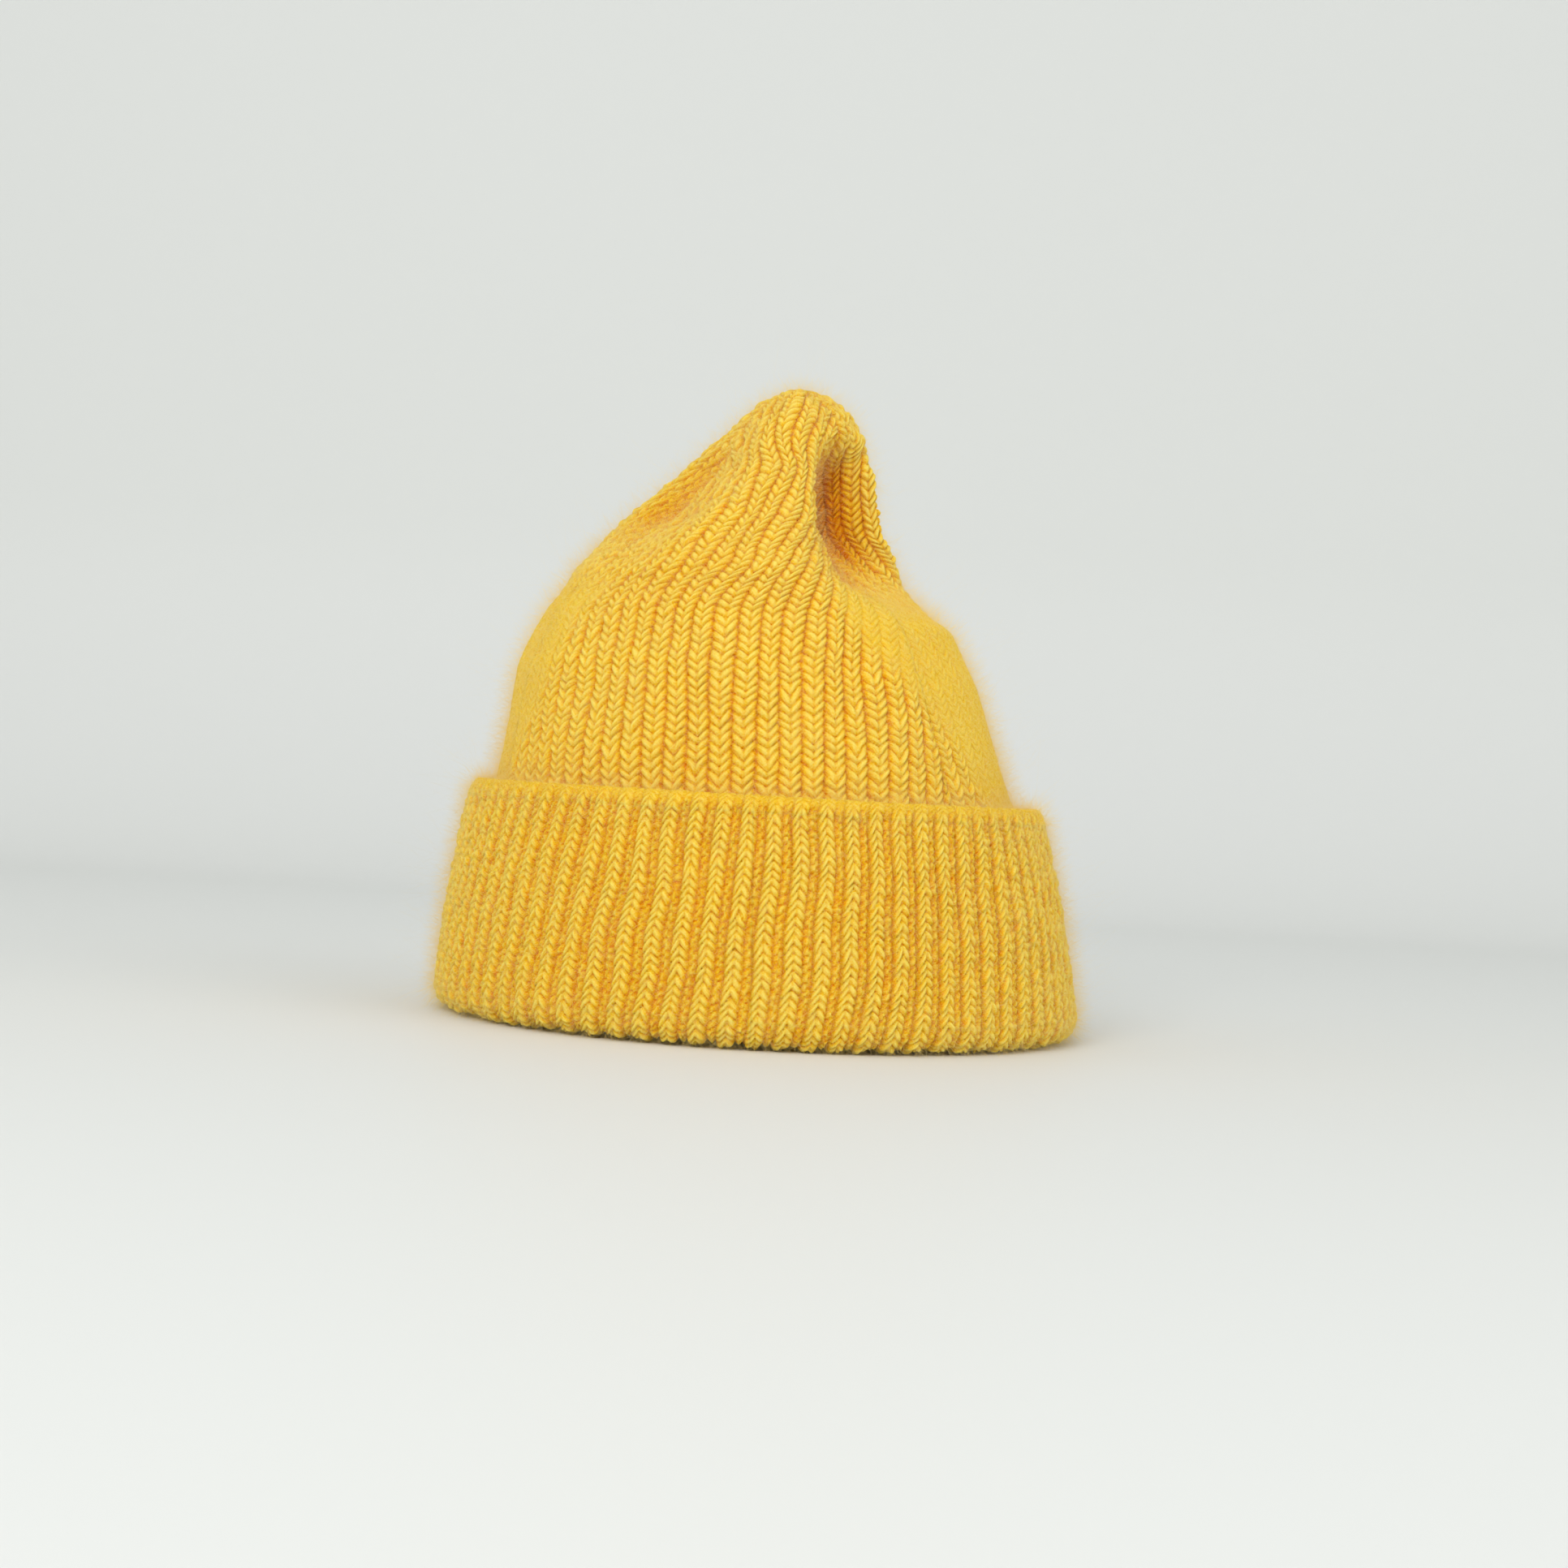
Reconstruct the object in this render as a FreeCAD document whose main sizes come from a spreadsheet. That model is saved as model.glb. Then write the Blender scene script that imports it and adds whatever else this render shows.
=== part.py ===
"""Knit beanie with a turned-up cuff and a slack, pinched peak.

Units are millimetres. The origin is the centre of the brim on the plane it rests on, +Z is up, -Y is the
front and +X is to the right seen from the front. The hat is one ribbed knit tube, modelled by its plies and
zones: the fold it stands on, the ply inside the cuff, the turned-up ply, its cast-on edge, four fashioned
crown panels, the fold below the peak and the gathered tip. The gathering yarn and its end, the linked back
seam and a hanging label with its stitches finish it on the inside.
"""

import FreeCAD, Part
import Sketcher

import math
import os

# name, value, what it is
DIMENSIONS = [
    ("brim_level", 0.0, "height of the plane the hat rests on"),
    ("brim_lean", 0.0, "sideways lean at the brim"),
    ("rim_radius", 102.5, "outer radius of the fold the hat stands on"),
    ("ply", 5.2, "thickness of one relaxed rib ply"),
    ("ply_gap", 0.8, "air between the two plies at the brim"),
    ("seam_gap", 0.2, "air between neighbouring soft solids"),
    ("fold_height", 8.0, "height of the rounded fold"),
    ("fold_round", 4.0, "rounding of the fold's lower corners"),
    ("cuff_height", 73.0, "brim to the cast-on edge"),
    ("cuff_top_radius", 91.8, "outer radius of the cuff at its cast-on edge"),
    ("edge_height", 4.8, "height of the cast-on edge"),
    ("edge_round", 2.2, "rounding of the cast-on edge"),
    ("cuff_lean", -3.0, "sideways lean of the cuff's top"),
    ("band_top", 66.0, "top of the ply inside the cuff"),
    ("band_top_radius", 84.9, "outer radius there"),
    ("band_lean", -3.4, "sideways lean there"),
    ("low_level", 90.0, "height of the lower crown section"),
    ("low_radius", 79.0, "crown radius there"),
    ("low_lean", -5.2, "sideways lean there"),
    ("mid_level", 110.0, "height of the middle crown section"),
    ("mid_radius", 73.6, "crown radius there"),
    ("mid_lean", -7.2, "sideways lean there"),
    ("shoulder_level", 128.0, "where the crown starts to turn in"),
    ("shoulder_radius", 65.0, "crown radius there"),
    ("shoulder_lean", -8.0, "sideways lean there"),
    ("shelf_level", 141.0, "top of the shoulder, at the foot of the peak"),
    ("shelf_lean", -4.0, "sideways lean there"),
    ("crown_top", 150.0, "where the panels end and the peak's fold starts"),
    ("neck_level", 158.0, "middle of the peak's fold"),
    ("neck_lean", -0.5, "sideways lean there"),
    ("tip_base", 176.0, "where the gathered tip starts"),
    ("tip_base_lean", 2.0, "sideways lean there"),
    ("brow_level", 188.0, "widest part of the tip's round top"),
    ("brow_lean", 3.0, "sideways lean there"),
    ("crest_level", 198.0, "where the tip rounds over"),
    ("crest_lean", 4.0, "sideways lean there"),
    ("peak_height", 204.5, "brim to the top of the peak"),
    ("peak_radius", 5.5, "radius of the gathered top"),
    ("peak_lean", 4.5, "sideways lean of the top"),
    ("wall", 4.6, "thickness of the single crown ply"),
    ("yarn_radius", 1.1, "radius of the plied yarn"),
    ("gather_radius", 4.2, "radius of the ring that gathers the last stitches"),
    ("gather_level", 193.0, "height of that ring"),
    ("tail_length", 14.0, "drop of the darned-in yarn end"),
    ("tail_bend", 2.0, "sideways bow of the yarn end"),
    ("seam_width", 5.0, "width of the linked back seam"),
    ("seam_depth", 2.4, "thickness of the linked back seam"),
    ("seam_foot", 68.0, "height where the seam leaves the cuff"),
    ("seam_head", 134.0, "height where the seam ends under the shoulder"),
    ("label_width", 24.0, "width of the folded label"),
    ("label_height", 28.0, "height of the folded label"),
    ("label_thickness", 0.9, "thickness of the folded label"),
    ("label_foot", 82.0, "height of the label's lower edge"),
    ("label_reach", 62.0, "how far behind the centre the label hangs"),
    ("label_stitch_count", 6, "stitches that hold the label's upper edge"),
    ("stitch_length", 2.4, "length of one label stitch"),
    ("stitch_radius", 0.35, "radius of the sewing thread"),
]

# Directions of the crown's ridges and valleys, in degrees round from the front towards +X. Each has its
# radius on the shelf, at the neck, at the base of the tip, at the brow and at the crest. The front ridge ends
# in an edge and a steep wall that drops into the front right valley, which the brow roofs over.
LOBES = [
    ("back_left_valley", -138.0, (52.0, 30.0, 22.0, 18.0, 12.0)),
    ("left_ridge", -98.0, (63.0, 52.0, 35.0, 24.0, 14.0)),
    ("front_left_valley", -70.0, (59.0, 38.0, 24.5, 19.0, 12.5)),
    ("front_ridge", -14.0, (60.0, 47.0, 31.0, 23.5, 13.0)),
    ("front_edge", 10.0, (58.5, 41.0, 29.5, 22.5, 13.0)),
    ("front_wall", 26.0, (49.0, 15.0, 13.7, 21.0, 12.5)),
    ("front_right_valley", 45.0, (35.0, 9.0, 8.5, 19.0, 12.0)),
    ("right_ridge", 82.0, (41.0, 32.0, 26.0, 21.0, 13.5)),
    ("back_right_valley", 130.0, (46.0, 24.0, 19.0, 17.0, 12.0)),
    ("back_ridge", 180.0, (58.0, 44.0, 30.0, 22.0, 13.0)),
]
LOBE_LEVELS = ("shelf", "neck", "tip_base", "brow", "crest")
PANELS = {
    "crown_front": ("front_left_valley", "front_right_valley"),
    "crown_right": ("front_right_valley", "back_right_valley"),
    "crown_back": ("back_right_valley", "back_left_valley"),
    "crown_left": ("back_left_valley", "front_left_valley"),
}
FAR = 300.0  # well outside the hat, for cutting solids
TOUCHING = 0.01  # heights closer than this count as level
DRAWN_OUTER, DRAWN_INNER = 90.0, 80.0  # radii that sketches are first drawn with, before the sheet sizes them
DRAWN_FOOT, DRAWN_HEAD = 1.0, 6.0  # heights that sections are first drawn with

doc = FreeCAD.newDocument("KnitBeanie")
sheet = doc.addObject("Spreadsheet::Sheet", "Dimensions")
parts = []


def fill_sheet():
    """One row per driving dimension: its name, its value with an alias, and what it is."""
    rows = list(DIMENSIONS)
    for name, azimuth, radii in LOBES:
        rows.append((name + "_azimuth", azimuth, "direction, round from the front"))
        for level, radius in zip(LOBE_LEVELS, radii):
            rows.append((name + "_" + level, radius, "radius at that level"))
    for number, (name, value, meaning) in enumerate(rows, start=1):
        sheet.set("A%d" % number, name)
        sheet.set("B%d" % number, str(value))
        sheet.set("C%d" % number, meaning)
        sheet.setAlias("B%d" % number, name)
    doc.recompute()


def size(name):
    """The value of a cell of the sheet."""
    return float(sheet.get(name))


def cell(name):
    """How an expression refers to a cell of the sheet."""
    return "Dimensions." + name


def new_body(label):
    body = doc.addObject("PartDesign::Body", label)
    body.Label = label
    parts.append(body)
    return body


def plane_of(body, role):
    return next(f for f in body.Origin.OriginFeatures if f.Role == role)


def new_sketch(body, name, role, offsets):
    """A sketch on one of the body's own planes, moved by expressions along that plane's x, y and z."""
    sketch = body.newObject("Sketcher::SketchObject", name)
    sketch.AttachmentSupport = [(plane_of(body, role), "")]
    sketch.MapMode = "FlatFace"
    for direction, expression in offsets.items():
        sketch.setExpression(".AttachmentOffset.Base." + direction, expression)
    return sketch


def bind(sketch, constraint, name, expression):
    """Adds a constraint, names it and binds it to the sheet."""
    index = sketch.addConstraint(constraint)
    sketch.renameConstraint(index, name)
    sketch.setExpression("Constraints." + name, expression)


def ring_sketch(body, name, outer, inner, height, lean):
    """Two circles about one centre, at a height and a lean."""
    sketch = new_sketch(body, name, "XY_Plane", {"x": lean, "z": height})
    for label, expression, drawn in (("outer", outer, DRAWN_OUTER), ("inner", inner, DRAWN_INNER)):
        circle = Part.Circle(FreeCAD.Vector(0, 0, 0), FreeCAD.Vector(0, 0, 1), drawn)
        number = sketch.addGeometry(circle, False)
        sketch.addConstraint(Sketcher.Constraint("Coincident", number, 3, -1, 1))
        bind(sketch, Sketcher.Constraint("Radius", number, drawn), label + "_radius", expression)
    return sketch


def lofted_ply(label, bottom, top):
    """A ply of fabric as a leaning hollow cone between two rings; each is (outer, inner, height, lean)."""
    body = new_body(label)
    first = ring_sketch(body, label + "_lower_ring", *bottom)
    last = ring_sketch(body, label + "_upper_ring", *top)
    loft = body.newObject("PartDesign::AdditiveLoft", label + "_ply")
    loft.Profile = first
    loft.Sections = [last]
    loft.Ruled = True
    first.Visibility = last.Visibility = False
    doc.recompute()
    return body


def section_sketch(body, name, inner, outer, low, high, lean):
    """An upright rectangle in the XZ plane, from the inner to the outer radius and from low to high."""
    sketch = new_sketch(body, name, "XZ_Plane", {"x": lean})
    corners = [
        (DRAWN_INNER, DRAWN_FOOT),
        (DRAWN_OUTER, DRAWN_FOOT),
        (DRAWN_OUTER, DRAWN_HEAD),
        (DRAWN_INNER, DRAWN_HEAD),
    ]
    for start, end in zip(corners, corners[1:] + corners[:1]):
        line = Part.LineSegment(FreeCAD.Vector(*start, 0), FreeCAD.Vector(*end, 0))
        sketch.addGeometry(line, False)
    for edge in range(4):
        sketch.addConstraint(Sketcher.Constraint("Coincident", edge, 2, (edge + 1) % 4, 1))
        kind = "Horizontal" if edge % 2 == 0 else "Vertical"
        sketch.addConstraint(Sketcher.Constraint(kind, edge))
    bind(sketch, Sketcher.Constraint("DistanceX", -1, 1, 0, 1, DRAWN_INNER), "inner_radius", inner)
    bind(sketch, Sketcher.Constraint("DistanceX", -1, 1, 1, 1, DRAWN_OUTER), "outer_radius", outer)
    tall = Sketcher.Constraint("DistanceY", 0, 1, 2, 2, DRAWN_HEAD - DRAWN_FOOT)
    bind(sketch, tall, "height", "%s - (%s)" % (high, low))
    sketch.setExpression(".AttachmentOffset.Base.y", low)
    sketch.addConstraint(Sketcher.Constraint("PointOnObject", 0, 1, -1))
    return sketch


def turned_ring(label, inner, outer, low, high, lean, rounding, at_top):
    """A ring turned from a rectangle, with the two edges of one end rounded."""
    body = new_body(label)
    sketch = section_sketch(body, label + "_section", inner, outer, low, high, lean)
    turned = body.newObject("PartDesign::Revolution", label + "_turned")
    turned.Profile = sketch
    turned.ReferenceAxis = (sketch, ["V_Axis"])
    turned.Angle = 360.0
    sketch.Visibility = False
    doc.recompute()
    ends = [edge.BoundBox.ZMax for edge in turned.Shape.Edges if edge.BoundBox.ZLength < TOUCHING]
    wanted = max(ends) if at_top else min(ends)
    names = [
        "Edge%d" % number
        for number, edge in enumerate(turned.Shape.Edges, start=1)
        if edge.BoundBox.ZLength < TOUCHING and abs(edge.BoundBox.ZMax - wanted) < TOUCHING
    ]
    rounded = body.newObject("PartDesign::Fillet", label + "_rounded")
    rounded.Base = (turned, names)
    rounded.setExpression("Radius", rounding)
    doc.recompute()
    return body


def brim():
    """The fold, the ply inside the cuff, the turned-up ply and its cast-on edge."""
    rim, ply, gap = cell("rim_radius"), cell("ply"), cell("ply_gap")
    air = cell("seam_gap")
    inside = "%s - 2 * %s - %s" % (rim, ply, gap)
    fold_top = cell("fold_height")
    edge_foot = "%s - %s" % (cell("cuff_height"), cell("edge_height"))
    level, upright = cell("brim_level"), cell("brim_lean")
    turned_ring("fold_edge", inside, rim, level, fold_top, upright, cell("fold_round"), False)
    band_foot = "%s + %s" % (fold_top, air)
    lofted_ply(
        "inner_band",
        ("%s - %s - %s" % (rim, ply, gap), inside, band_foot, upright),
        (
            cell("band_top_radius"),
            "%s - %s" % (cell("band_top_radius"), ply),
            cell("band_top"),
            cell("band_lean"),
        ),
    )
    lofted_ply(
        "turn_up_cuff",
        (rim, "%s - %s" % (rim, ply), band_foot, upright),
        (
            cell("cuff_top_radius"),
            "%s - %s" % (cell("cuff_top_radius"), ply),
            "%s - %s" % (edge_foot, air),
            cell("cuff_lean"),
        ),
    )
    turned_ring(
        "cast_on_edge",
        "%s - %s" % (cell("cuff_top_radius"), ply),
        cell("cuff_top_radius"),
        edge_foot,
        cell("cuff_height"),
        cell("cuff_lean"),
        cell("edge_round"),
        True,
    )


def lobe_radii(level):
    """The crown's radius in each lobe's direction at one of the upper levels."""
    return [size(name + "_" + level) for name, _, _ in LOBES]


def crown_sections():
    """Each section of the crown as (height, lean, radii, inset, drop), from the bottom to the top. The inset
    and drop lead from the outside to the inside of the ply: a steep wall is inset, and a flat one drops."""
    wall = size("wall")
    even = len(LOBES)
    return [
        (size("band_top") + size("seam_gap"), size("band_lean"), [size("band_top_radius")] * even, wall, 0.0),
        (size("low_level"), size("low_lean"), [size("low_radius")] * even, wall, 1.0),
        (size("mid_level"), size("mid_lean"), [size("mid_radius")] * even, wall, 1.5),
        (size("shoulder_level"), size("shoulder_lean"), [size("shoulder_radius")] * even, 0.9 * wall, 3.0),
        (size("shelf_level"), size("shelf_lean"), lobe_radii("shelf"), 0.7 * wall, 4.0),
        (size("neck_level"), size("neck_lean"), lobe_radii("neck"), 0.9 * wall, 3.0),
        (size("tip_base"), size("tip_base_lean"), lobe_radii("tip_base"), 0.9 * wall, 2.5),
        (size("brow_level"), size("brow_lean"), lobe_radii("brow"), 0.9 * wall, 2.5),
        (size("crest_level"), size("crest_lean"), lobe_radii("crest"), 0.8 * wall, 3.5),
        (size("peak_height"), size("peak_lean"), [size("peak_radius")] * even, 0.3 * wall, 4.5),
    ]


def closed_curve(points):
    curve = Part.BSplineCurve()
    curve.interpolate(Points=points, PeriodicFlag=True)
    return curve


def section_wire(height, lean, radii, inset=0.0):
    """A closed smooth outline through one point in each lobe's direction, or one drawn in square to it."""
    points = []
    for (name, _, _), radius in zip(LOBES, radii):
        angle = math.radians(size(name + "_azimuth"))
        points.append(FreeCAD.Vector(lean + radius * math.sin(angle), -radius * math.cos(angle), height))
    curve = closed_curve(points)
    if inset:
        drawn_in = []
        for point in points:
            along = FreeCAD.Vector(curve.tangent(curve.parameter(point))[0])
            drawn_in.append(point + FreeCAD.Vector(-along.y, along.x, 0) * inset)
        curve = closed_curve(drawn_in)
    return Part.Wire([curve.toShape()])


def crown_outside():
    """Everything inside the crown's outer surface."""
    wires = [section_wire(at, lean, radii) for at, lean, radii, _, _ in crown_sections()]
    return Part.makeLoft(wires, True, True)


def crown_inside(sections, clearance=0.0):
    """The hollow under the crown's ply through some sections, or that hollow drawn in by a clearance."""
    wires = []
    for at, lean, radii, inset, drop in sections:
        wires.append(section_wire(at - drop, lean, radii, inset + clearance))
    return Part.makeLoft(wires, True, True)


def slab(low, high):
    """A block that holds everything between two heights."""
    corner = FreeCAD.Vector(-FAR, -FAR, low)
    return Part.makeBox(2 * FAR, 2 * FAR, high - low, corner)


def wedge(first, last):
    """An upright wedge between the directions of two lobes, set back from both by half the gap."""
    start = size(first + "_azimuth")
    end = size(last + "_azimuth")
    if end < start:
        end += 360.0
    middle = math.radians((start + end) / 2)
    half = math.radians((end - start) / 2)
    setback = size("seam_gap") / 2 / math.sin(half)
    apex = FreeCAD.Vector(setback * math.sin(middle), -setback * math.cos(middle), 0)
    outline = [apex]
    for angle in (middle - half, middle, middle + half):
        outline.append(apex + FreeCAD.Vector(FAR * math.sin(angle), -FAR * math.cos(angle), 0))
    outline.append(apex)
    return Part.Face(Part.makePolygon(outline)).extrude(FreeCAD.Vector(0, 0, FAR))


def new_feature(label, shape):
    """A sub-part whose shape no feature or primitive makes, such as a lobed soft shell."""
    feature = doc.addObject("Part::Feature", label)
    feature.Label = label
    feature.Shape = shape
    feature.Placement = FreeCAD.Placement()
    parts.append(feature)
    return feature


def crown():
    """Four fashioned panels that meet in the valleys, the fold below the peak, and the gathered tip."""
    shell = crown_outside().cut(crown_inside(crown_sections()))
    air = size("seam_gap")
    panels = shell.common(slab(0.0, size("crown_top")))
    for label, (first, last) in PANELS.items():
        new_feature(label, panels.common(wedge(first, last)))
    new_feature("peak_fold", shell.common(slab(size("crown_top") + air, size("tip_base"))))
    new_feature("peak_tip", shell.common(slab(size("tip_base") + air, size("peak_height") + air)))


def back_seam():
    """The linked seam, a flat ridge that follows the back panel on its inside."""
    air = size("seam_gap")
    below_peak = [section for section in crown_sections() if section[0] <= size("shelf_level")]
    ply = crown_inside(below_peak, air).cut(crown_inside(below_peak, air + size("seam_depth")))
    width = size("seam_width")
    corner = FreeCAD.Vector(size("mid_lean") - width / 2, 0.0, size("seam_foot"))
    strip = Part.makeBox(width, FAR, size("seam_head") - size("seam_foot"), corner)
    new_feature("back_seam", ply.common(strip))


def gather_yarn():
    """The ring of yarn that draws the last stitches together, inside the tip."""
    ring = doc.addObject("Part::Torus", "gather_yarn")
    ring.Label = "gather_yarn"
    ring.setExpression("Radius1", cell("gather_radius"))
    ring.setExpression("Radius2", cell("yarn_radius"))
    ring.setExpression(".Placement.Base.x", cell("crest_lean"))
    ring.setExpression(".Placement.Base.z", cell("gather_level"))
    parts.append(ring)


def yarn_tail():
    """The end of the gathering yarn, darned in below its ring: a round yarn along one shallow arc."""
    body = new_body("yarn_tail")
    start_height = "%s - 1.5 * %s" % (cell("gather_level"), cell("yarn_radius"))
    side = "%s - %s" % (cell("crest_lean"), cell("gather_radius"))
    path = new_sketch(body, "yarn_tail_path", "XZ_Plane", {"x": side, "y": start_height})
    drop, bend = size("tail_length"), size("tail_bend")
    low_end, bow_point = FreeCAD.Vector(0, -drop, 0), FreeCAD.Vector(bend, -drop / 2, 0)
    path.addGeometry(Part.Arc(low_end, bow_point, FreeCAD.Vector(0, 0, 0)), False)
    path.addConstraint(Sketcher.Constraint("Coincident", 0, 2, -1, 1))
    path.addConstraint(Sketcher.Constraint("PointOnObject", 0, 1, -2))
    bind(path, Sketcher.Constraint("DistanceY", 0, 1, 0, 2, drop), "length", cell("tail_length"))
    arc_radius = (drop * drop / 4 + bend * bend) / (2 * bend)
    bow = "(%s ^ 2 / 4 + %s ^ 2) / (2 * %s)" % (cell("tail_length"), cell("tail_bend"), cell("tail_bend"))
    bind(path, Sketcher.Constraint("Radius", 0, arc_radius), "bow", bow)
    profile = new_sketch(body, "yarn_tail_section", "XY_Plane", {"x": side, "z": start_height})
    circle = Part.Circle(FreeCAD.Vector(0, 0, 0), FreeCAD.Vector(0, 0, 1), size("yarn_radius"))
    profile.addGeometry(circle, False)
    profile.addConstraint(Sketcher.Constraint("Coincident", 0, 3, -1, 1))
    bind(profile, Sketcher.Constraint("Radius", 0, size("yarn_radius")), "radius", cell("yarn_radius"))
    doc.recompute()
    pipe = body.newObject("PartDesign::AdditivePipe", "yarn_tail_strand")
    pipe.Profile = profile
    pipe.Spine = (path, ["Edge1"])
    path.Visibility = profile.Visibility = False
    doc.recompute()


def label():
    """A blank folded label that hangs from its upper edge over the back seam, and its stitches."""
    flap = doc.addObject("Part::Box", "label")
    flap.Label = "label"
    flap.setExpression("Length", cell("label_width"))
    flap.setExpression("Width", cell("label_thickness"))
    flap.setExpression("Height", cell("label_height"))
    left = "%s - %s / 2" % (cell("mid_lean"), cell("label_width"))
    flap.setExpression(".Placement.Base.x", left)
    flap.setExpression(".Placement.Base.y", cell("label_reach"))
    flap.setExpression(".Placement.Base.z", cell("label_foot"))
    parts.append(flap)
    count = int(size("label_stitch_count"))
    stitches = []
    for number in range(count):
        stitch = doc.addObject("Part::Cylinder", "label_stitch_%d" % (number + 1))
        stitch.setExpression("Radius", cell("stitch_radius"))
        stitch.setExpression("Height", cell("stitch_length"))
        stitch.Placement.Rotation = FreeCAD.Rotation(FreeCAD.Vector(0, 1, 0), 90)
        middle = "%s + %s * %g" % (left, cell("label_width"), (number + 0.5) / count)
        stitch.setExpression(".Placement.Base.x", "%s - %s / 2" % (middle, cell("stitch_length")))
        clear = "%s - %s - %s / 4" % (cell("label_reach"), cell("stitch_radius"), cell("seam_gap"))
        stitch.setExpression(".Placement.Base.y", clear)
        top = "%s + %s - %s" % (cell("label_foot"), cell("label_height"), cell("stitch_length"))
        stitch.setExpression(".Placement.Base.z", top)
        stitches.append(stitch)
    group = doc.addObject("Part::Compound", "label_stitches")
    group.Label = "label_stitches"
    group.Links = stitches
    parts.append(group)


def check():
    """Stops if any object failed, or if a sub-part has no valid solid."""
    for item in doc.Objects:
        if "Invalid" in item.State or "Error" in item.State:
            raise RuntimeError("%s did not build: %s" % (item.Label, item.State))
    for part in parts:
        if part.Shape.isNull() or not part.Shape.isValid() or not part.Shape.Solids:
            raise RuntimeError("%s has no valid solid" % part.Label)


def write():
    """Each sub-part goes to a STEP file that carries its label."""
    os.makedirs("parts", exist_ok=True)
    for part in parts:
        part.Shape.exportStep(os.path.join("parts", part.Label + ".step"))


fill_sheet()
brim()
crown()
back_seam()
gather_yarn()
yarn_tail()
label()
doc.recompute()
check()
write()
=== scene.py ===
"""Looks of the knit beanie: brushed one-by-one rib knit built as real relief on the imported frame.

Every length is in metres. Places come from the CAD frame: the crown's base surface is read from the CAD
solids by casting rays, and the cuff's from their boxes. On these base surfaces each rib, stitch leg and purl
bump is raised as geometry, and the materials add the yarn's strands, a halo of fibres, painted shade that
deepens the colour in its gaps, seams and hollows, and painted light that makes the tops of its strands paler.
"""

import math

import bpy
import numpy as np
from mathutils import Matrix, Vector
from mathutils.bvhtree import BVHTree


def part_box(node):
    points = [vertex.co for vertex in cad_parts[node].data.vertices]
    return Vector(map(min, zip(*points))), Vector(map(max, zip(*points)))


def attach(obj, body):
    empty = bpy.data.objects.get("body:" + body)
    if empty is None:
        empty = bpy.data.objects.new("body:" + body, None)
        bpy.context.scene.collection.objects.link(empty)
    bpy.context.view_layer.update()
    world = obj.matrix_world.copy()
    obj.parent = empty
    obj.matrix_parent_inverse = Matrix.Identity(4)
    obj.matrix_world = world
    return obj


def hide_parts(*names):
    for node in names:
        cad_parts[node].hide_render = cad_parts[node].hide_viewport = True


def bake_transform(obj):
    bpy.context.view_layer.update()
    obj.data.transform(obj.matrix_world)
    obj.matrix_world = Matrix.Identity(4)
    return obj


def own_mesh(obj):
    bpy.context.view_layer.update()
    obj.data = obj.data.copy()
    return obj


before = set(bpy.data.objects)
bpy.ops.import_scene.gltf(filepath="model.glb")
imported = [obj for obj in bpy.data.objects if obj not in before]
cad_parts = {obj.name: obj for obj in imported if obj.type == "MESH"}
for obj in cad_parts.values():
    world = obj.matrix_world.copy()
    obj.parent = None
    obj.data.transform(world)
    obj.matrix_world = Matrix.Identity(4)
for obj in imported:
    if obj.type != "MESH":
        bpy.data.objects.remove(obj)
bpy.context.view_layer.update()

SEED = 41
TINY = 1e-12                # keeps a division by a length from failing

# The knit. A rib's relief is measured from its gaps, and a stitch is two legs that climb away from mid-rib.
RIBS = 76                   # rib columns round the hat
CROWN_ROW = 0.0029          # height of one row of stitches on the crown
CUFF_ROW = 0.0026           # the same on the turned-up cuff
CROWN_RELIEF = 0.0013       # how far the crown's ribs stand out of their gaps
CUFF_RELIEF = 0.0015        # the same on the stretched cuff
CROWN_SINK = 0.65           # how far the crown's relief lies below its base, as a share of the relief
CUFF_SINK = 0.50            # the same on the cuff
CROWN_RIB_SHARE = 0.96      # width of a rib in its period on the relaxed crown
CUFF_RIB_SHARE = 0.64       # the same on the stretched cuff
CROWN_LEGS = (0.8, 1.2)     # rows that a stitch's left and right legs climb from mid-rib to the rib's side
CUFF_LEGS = (-1.5, -0.9)    # the same on the cuff, where the fabric is upside down
LEG_RELIEF = 0.0015         # how far one leg of a stitch stands out
EDGE_TOUCH = 0.34           # how high the legs of neighbouring crown ribs still are where they touch
ROW_LEAD = 5                # rows of unevenness kept ready below row 0
KNITTED_ROWS = 160          # rows of unevenness in all

# The crown's surface.
GRID = 0.00048              # spacing of the crown's mesh
CROWN_PLY = 0.0042          # thickness of the crown's fabric
CROWN_FOOT = 0.008          # height over which the crown's foot comes in to meet the ply inside the cuff
TIP_DOME = 0.0090           # height of the rounded end of the peak
TIP_NARROWING = 0.26        # how much narrower the ribs are at the tip, as a share
SEAM_GROOVE = 0.0012        # width beside a panel's edge where the relief sinks into the seam
PUFF = 0.0006               # how far the fabric swells and dips between its ribs
EVEN_ROWS = 20              # rows above the cuff over which the drift and the seams set in
TIP_FADE = 14.0             # mesh rows below the tip's end over which the relief runs out
HOLLOW_SHADE = 0.92         # how much deeper the colour is in the hollows, where the light does not reach
HOLLOW_START = 0.003        # depth below the folds round it at which a place counts as a hollow
HOLLOW_DEPTH = 0.013        # further depth at which it counts in full
HOLLOW_SINK = 0.0035        # how much deeper the hollows are than the CAD's
SINK_END = 0.178            # height where that starts to fade out towards the tip

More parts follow.
